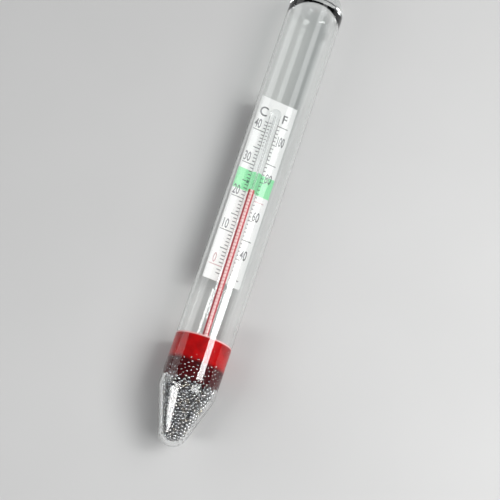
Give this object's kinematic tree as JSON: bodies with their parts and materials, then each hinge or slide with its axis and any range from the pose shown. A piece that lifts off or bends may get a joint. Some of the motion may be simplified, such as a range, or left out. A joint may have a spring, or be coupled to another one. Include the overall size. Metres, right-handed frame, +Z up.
{
  "type": "darkroom thermometer",
  "caption": "Sealed glass tube thermometer with a weighted conical foot, a red wax plug over steel shot, a white C and F scale card and a capillary of red spirit.",
  "frame": {"origin": "under the middle of the tube, on the surface that the thermometer lies on", "axes": "+X along the tube from the weighted foot to the crown, +Y towards the side with the C scale, +Z up, out of the card's face"},
  "size_m": [0.11, 0.0126, 0.0125],
  "materials": {
    "envelope_glass": "polished",
    "stem_glass": "polished",
    "red_spirit": "gloss",
    "scale_card": "matte",
    "red_wax": "satin",
    "steel_shot": "polished"
  },
  "bodies": {
    "thermometer": {"glass_tube": "envelope_glass", "glass_crown": "envelope_glass", "capillary_stem": "stem_glass", "sealing_bead": "stem_glass", "spirit_reservoir": "red_spirit", "spirit_column": "red_spirit", "scale_card": "scale_card", "wax_plug": "red_wax", "shot_ballast": "steel_shot", "shot_01": "steel_shot", "shot_02": "steel_shot", "shot_03": "steel_shot", "shot_04": "steel_shot", "shot_05": "steel_shot", "shot_06": "steel_shot", "shot_07": "steel_shot", "shot_08": "steel_shot", "shot_09": "steel_shot", "shot_10": "steel_shot", "shot_11": "steel_shot", "shot_12": "steel_shot", "shot_13": "steel_shot", "shot_14": "steel_shot", "shot_15": "steel_shot", "shot_16": "steel_shot", "shot_17": "steel_shot", "shot_18": "steel_shot", "shot_19": "steel_shot", "shot_20": "steel_shot", "shot_21": "steel_shot", "shot_22": "steel_shot", "shot_23": "steel_shot", "shot_24": "steel_shot", "shot_25": "steel_shot", "shot_26": "steel_shot", "shot_27": "steel_shot", "shot_28": "steel_shot", "shot_29": "steel_shot", "shot_30": "steel_shot", "shot_31": "steel_shot", "shot_32": "steel_shot", "shot_33": "steel_shot", "shot_34": "steel_shot"},
    "spirit_top": {"spirit_head": "red_spirit"}
  },
  "joints": [
    {"name": "spirit_rise", "type": "slide", "parent": "thermometer", "child": "spirit_top", "axis": [0.9998, 0.0166, 0.0093], "range_m": [-0.02003, 0.0166], "deforming": ["spirit_column"]}
  ]
}
